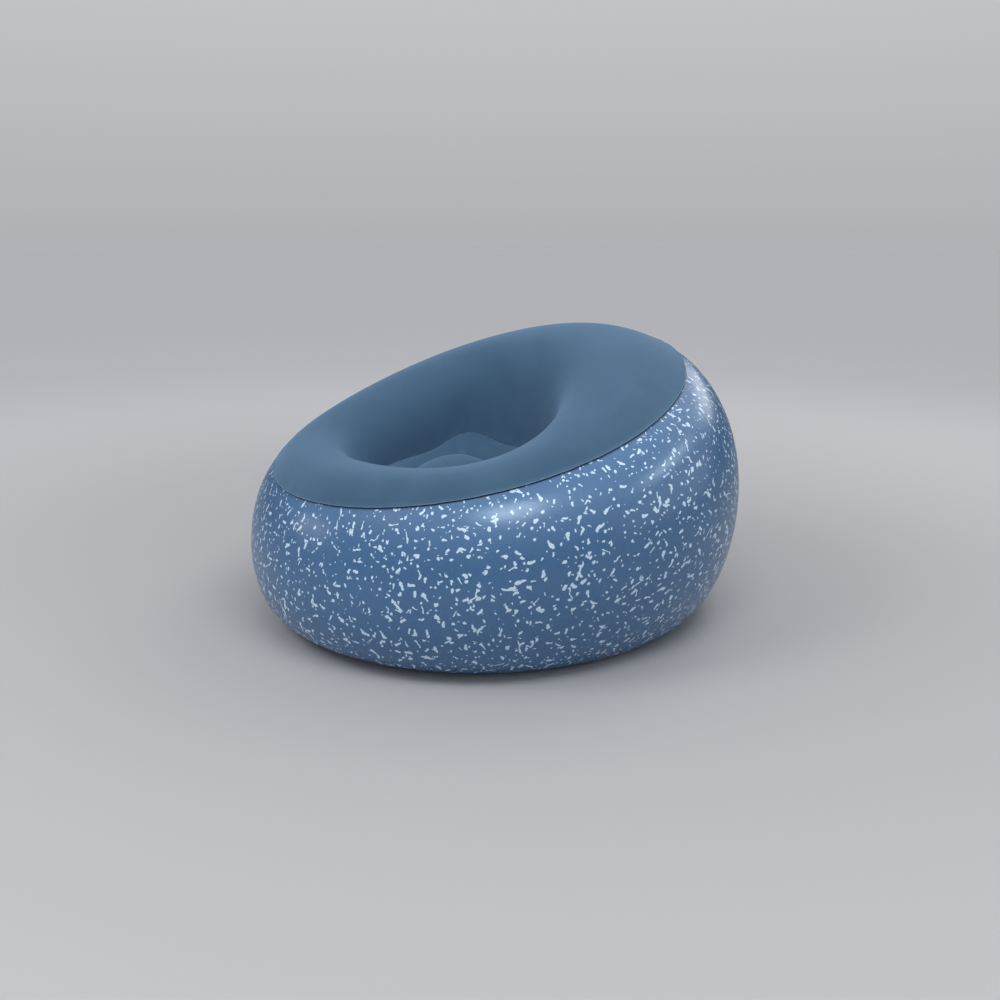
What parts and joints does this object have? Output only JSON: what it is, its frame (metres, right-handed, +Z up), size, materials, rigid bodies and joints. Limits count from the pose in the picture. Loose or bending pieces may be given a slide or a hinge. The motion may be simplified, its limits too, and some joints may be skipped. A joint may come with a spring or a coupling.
{
  "type": "inflatable chair",
  "caption": "Round inflatable lounge chair with a flocked top, a deep off-centre seat well, a raised back, speckled vinyl sides and a screw valve low on the back.",
  "frame": {"origin": "on the floor, under the middle of the chair's round outline", "axes": "+Z up; the chair faces -Y, so its back is at +Y; left and right are the sitter's, left at +X"},
  "size_m": [1.118, 1.12, 0.6396],
  "materials": {
    "flocked_vinyl": "short matt flock, slate blue",
    "printed_vinyl": "satin vinyl sheet, blue with pale scattered flecks",
    "base_vinyl": "satin vinyl sheet, dark blue",
    "web_vinyl": "plain vinyl sheet",
    "soft_valve_vinyl": "moulded soft vinyl, satin",
    "hard_valve_plastic": "moulded plastic, fine satin",
    "seal_rubber": "smooth soft rubber"
  },
  "bodies": {
    "chair": {"side_wall": "printed_vinyl", "base_sheet": "base_vinyl", "top_panel": "flocked_vinyl", "seat_panel": "flocked_vinyl", "seat_web_front": "web_vinyl", "seat_web_back": "web_vinyl", "seat_web_left": "web_vinyl", "seat_web_right": "web_vinyl", "valve_base": "soft_valve_vinyl"},
    "insert_lift_ring": {"insert_seal": "seal_rubber"},
    "insert": {"valve_insert": "hard_valve_plastic"},
    "flap": {"valve_flap": "seal_rubber"},
    "cap_lift_ring": {"cap_seal": "seal_rubber", "cap_strap": "soft_valve_vinyl"},
    "cap": {"valve_cap": "hard_valve_plastic"}
  },
  "joints": [
    {"name": "insert_lift", "type": "slide", "parent": "chair", "child": "insert_lift_ring", "axis": [0, 0.925, -0.3799], "range_m": [0, 0.0075]},
    {"name": "insert_turn", "type": "hinge", "parent": "insert_lift_ring", "child": "insert", "pos_m": [0, 0.53256, 0.088], "axis": [0, 0.925, -0.3799], "range_deg": [0, 451]},
    {"name": "flap_swing", "type": "hinge", "parent": "insert", "child": "flap", "pos_m": [0, 0.52906, 0.10501], "axis": [-1, 0, 0], "range_deg": [0, 45], "stiffness_Nm_per_rad": 0.0006, "springref_deg": -11.46},
    {"name": "cap_lift", "type": "slide", "parent": "insert", "child": "cap_lift_ring", "axis": [0, 0.925, -0.3799], "range_m": [0, 0.0045]},
    {"name": "cap_turn", "type": "hinge", "parent": "cap_lift_ring", "child": "cap", "pos_m": [0, 0.53256, 0.088], "axis": [0, 0.925, -0.3799], "range_deg": [0, 541]}
  ],
  "couplings": [
    {"joint": "insert_turn", "follows": "insert_lift", "rad_per_m": 1047.2},
    {"joint": "cap_turn", "follows": "cap_lift", "rad_per_m": 2094.4}
  ]
}
